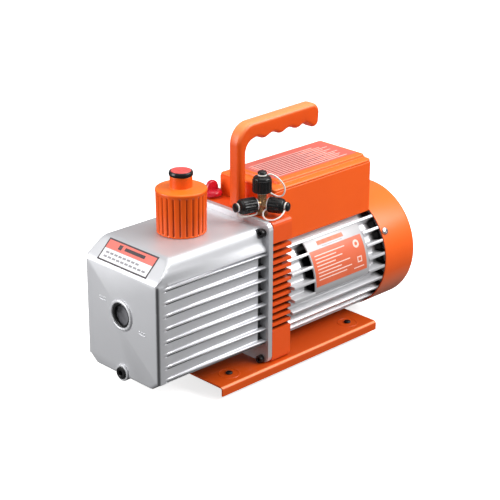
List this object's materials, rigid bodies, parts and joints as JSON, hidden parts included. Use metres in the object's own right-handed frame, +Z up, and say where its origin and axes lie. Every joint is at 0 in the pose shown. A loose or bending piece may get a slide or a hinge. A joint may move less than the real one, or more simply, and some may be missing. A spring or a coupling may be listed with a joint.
{
  "type": "rotary vane vacuum pump",
  "caption": "Finned oil tank with sight window, pump module and fan-cooled motor on a bent base plate, with a hooked carrying handle, capped intake and screw-in exhaust cap.",
  "frame": {"origin": "on the ground, under the middle of the bounding box", "axes": "+X along the shaft from the oil tank to the fan cover, -Y the side with the name plate pad, +Z up"},
  "size_m": [0.401, 0.145, 0.2816],
  "materials": {
    "orange_paint": "gloss",
    "cast_aluminium": "satin",
    "extruded_aluminium": "satin",
    "orange_plastic": "gloss",
    "black_steel": "black oxide",
    "rubber": "matte",
    "dark_window": "polished",
    "black_plastic": "satin",
    "filter_felt": "felt",
    "cast_iron": "machined",
    "steel": "machined",
    "carbon_vane": "matte",
    "copper_winding": "varnished",
    "chrome": "polished",
    "brass": "satin",
    "clear_silicone": "translucent",
    "red_plastic": "gloss"
  },
  "bodies": {
    "frame_body": {"base_plate": "orange_paint", "pump_module": "orange_paint", "fan_cover": "orange_paint", "electrical_box": "orange_paint", "box_lid": "orange_paint", "handle": "orange_plastic", "oil_tank": "cast_aluminium", "tank_flange": "cast_aluminium", "motor_end_bell": "cast_aluminium", "motor_housing": "extruded_aluminium", "foot_1": "rubber", "foot_2": "rubber", "foot_3": "rubber", "foot_4": "rubber", "foot_screw_1": "black_steel", "foot_screw_2": "black_steel", "foot_screw_3": "black_steel", "foot_screw_4": "black_steel", "tank_screw_1": "black_steel", "tank_screw_2": "black_steel", "tank_screw_3": "black_steel", "tank_screw_4": "black_steel", "sight_glass": "dark_window", "sight_retainer": "black_plastic", "capacitor": "black_plastic", "power_inlet": "black_plastic", "pump_cylinder": "cast_iron", "pump_end_cover": "cast_iron", "exhaust_valve": "steel", "bearing_front": "steel", "bearing_rear": "steel", "motor_stator": "copper_winding", "cover_screw_1": "chrome", "cover_screw_2": "chrome", "cover_screw_3": "chrome", "intake_fitting": "brass", "tether_top": "clear_silicone", "tether_left": "clear_silicone", "tether_right": "clear_silicone"},
    "shaft_assembly": {"motor_shaft": "steel", "motor_rotor": "steel", "shaft_coupling": "steel", "pump_rotor": "steel", "vane_1": "carbon_vane", "vane_2": "carbon_vane", "cooling_fan": "black_plastic"},
    "drain_washer": {"drain_washer": "rubber"},
    "drain_plug": {"drain_plug": "black_steel"},
    "mist_filter": {"mist_filter": "filter_felt"},
    "exhaust_cap": {"exhaust_cap": "orange_plastic", "exhaust_spigot": "orange_plastic"},
    "exhaust_plug": {"exhaust_plug": "black_plastic"},
    "rocker_switch": {"rocker_switch": "black_plastic"},
    "gas_ballast_knob": {"gas_ballast_knob": "red_plastic"},
    "tether_eye_top": {"tether_eye_top": "clear_silicone"},
    "intake_cap_top": {"intake_cap_top": "black_plastic"},
    "tether_eye_left": {"tether_eye_left": "clear_silicone"},
    "intake_cap_left": {"intake_cap_left": "black_plastic"},
    "tether_eye_right": {"tether_eye_right": "clear_silicone"},
    "intake_cap_right": {"intake_cap_right": "black_plastic"}
  },
  "joints": [
    {"name": "shaft_spin", "type": "hinge", "parent": "frame_body", "child": "shaft_assembly", "pos_m": [0, 0, 0.0891], "axis": [1, 0, 0], "continuous": true},
    {"name": "drain_travel", "type": "slide", "parent": "frame_body", "child": "drain_washer", "axis": [-1, 0, 0], "range_m": [0, 0.01135]},
    {"name": "drain_turn", "type": "hinge", "parent": "drain_washer", "child": "drain_plug", "pos_m": [-0.1985, 0, 0.038], "axis": [-1, 0, 0], "range_deg": [0, 3240]},
    {"name": "exhaust_cap_travel", "type": "slide", "parent": "frame_body", "child": "mist_filter", "axis": [0, 0, 1], "range_m": [0, 0.0106]},
    {"name": "exhaust_cap_turn", "type": "hinge", "parent": "mist_filter", "child": "exhaust_cap", "pos_m": [-0.1095, 0, 0.1781], "axis": [0, 0, 1], "range_deg": [0, 1260]},
    {"name": "exhaust_plug_lift", "type": "slide", "parent": "exhaust_cap", "child": "exhaust_plug", "axis": [0, 0, 1], "range_m": [0, 0.0095]},
    {"name": "intake_cap_top_travel", "type": "slide", "parent": "frame_body", "child": "tether_eye_top", "axis": [0, 0, 1], "range_m": [0, 0.0096], "deforming": ["tether_top"]},
    {"name": "intake_cap_top_turn", "type": "hinge", "parent": "tether_eye_top", "child": "intake_cap_top", "pos_m": [-0.0245, -0.037, 0.2022], "axis": [0, 0, 1], "range_deg": [0, 2700]},
    {"name": "intake_cap_left_travel", "type": "slide", "parent": "frame_body", "child": "tether_eye_left", "axis": [-0.9563, 0.2924, 0], "range_m": [0, 0.0096], "deforming": ["tether_left"]},
    {"name": "intake_cap_left_turn", "type": "hinge", "parent": "tether_eye_left", "child": "intake_cap_left", "pos_m": [-0.0245, -0.037, 0.197], "axis": [-0.9563, 0.2924, 0], "range_deg": [0, 2700]},
    {"name": "intake_cap_right_travel", "type": "slide", "parent": "frame_body", "child": "tether_eye_right", "axis": [0.4067, -0.9135, 0], "range_m": [0, 0.0096], "deforming": ["tether_right"]},
    {"name": "intake_cap_right_turn", "type": "hinge", "parent": "tether_eye_right", "child": "intake_cap_right", "pos_m": [-0.0245, -0.037, 0.197], "axis": [0.4067, -0.9135, 0], "range_deg": [0, 2700]},
    {"name": "rocker_tilt", "type": "hinge", "parent": "frame_body", "child": "rocker_switch", "pos_m": [0.0955, 0.0425, 0.181], "axis": [1, 0, 0], "range_deg": [0, 16]},
    {"name": "gas_ballast_turn", "type": "hinge", "parent": "frame_body", "child": "gas_ballast_knob", "pos_m": [-0.0251, 0.0425, 0.1844], "axis": [0, 0, 1], "range_deg": [0, 180]}
  ],
  "couplings": [
    {"joint": "drain_travel", "follows": "drain_turn", "m_per_rad": 0.00019894},
    {"joint": "exhaust_cap_travel", "follows": "exhaust_cap_turn", "m_per_rad": 0.00047746},
    {"joint": "intake_cap_top_travel", "follows": "intake_cap_top_turn", "m_per_rad": 0.00020213},
    {"joint": "intake_cap_left_travel", "follows": "intake_cap_left_turn", "m_per_rad": 0.00020213},
    {"joint": "intake_cap_right_travel", "follows": "intake_cap_right_turn", "m_per_rad": 0.00020213}
  ]
}
